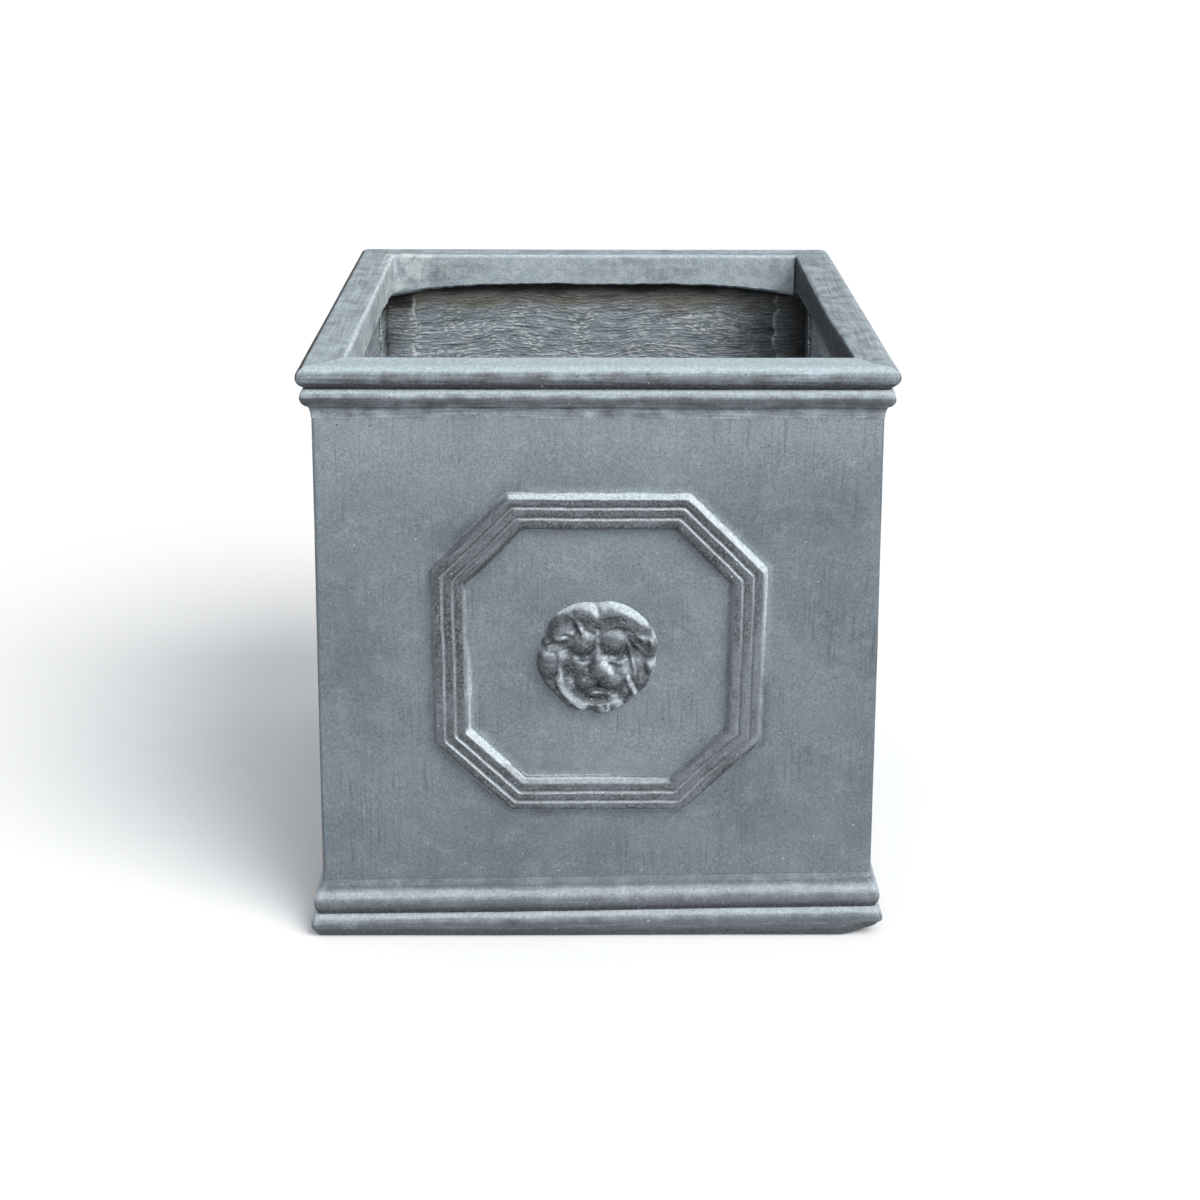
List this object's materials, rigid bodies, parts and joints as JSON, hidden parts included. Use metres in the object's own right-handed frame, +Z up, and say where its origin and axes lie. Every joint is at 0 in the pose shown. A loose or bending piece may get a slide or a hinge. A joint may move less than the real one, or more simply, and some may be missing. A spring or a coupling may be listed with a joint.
{
  "type": "square planter",
  "caption": "Square concrete box planter with a moulded rim and base, an octagonal panel moulding and lion-head boss on each side, and a drained floor.",
  "frame": {"origin": "centre of the underside, on the ground", "axes": "+Z up, front panel towards -Y, +X to the right seen from the front"},
  "size_m": [0.41, 0.41, 0.417],
  "materials": {
    "cast_face": "smooth cast fibre concrete, blue-grey, rubbed",
    "rim_moulding": "smooth cast fibre concrete, pale blue-grey, dry-brushed arrises",
    "base_moulding": "smooth cast fibre concrete, blue-grey, dry-brushed beads",
    "relief": "cast relief, dark in the hollows and pale on the ridges",
    "inner_coat": "coarse brushed render, slightly glossy"
  },
  "bodies": {
    "root": {"wall_front": "cast_face", "wall_right": "cast_face", "wall_back": "cast_face", "wall_left": "cast_face", "rim_front": "rim_moulding", "rim_right": "rim_moulding", "rim_back": "rim_moulding", "rim_left": "rim_moulding", "plinth_front": "base_moulding", "plinth_right": "base_moulding", "plinth_back": "base_moulding", "plinth_left": "base_moulding", "octagon_frame_front": "relief", "octagon_frame_right": "relief", "octagon_frame_back": "relief", "octagon_frame_left": "relief", "lion_mask_front": "relief", "lion_mask_right": "relief", "lion_mask_back": "relief", "lion_mask_left": "relief", "corner_strip_front_left": "inner_coat", "corner_strip_front_right": "inner_coat", "corner_strip_back_right": "inner_coat", "corner_strip_back_left": "inner_coat", "floor_slab": "inner_coat"}
  },
  "joints": []
}
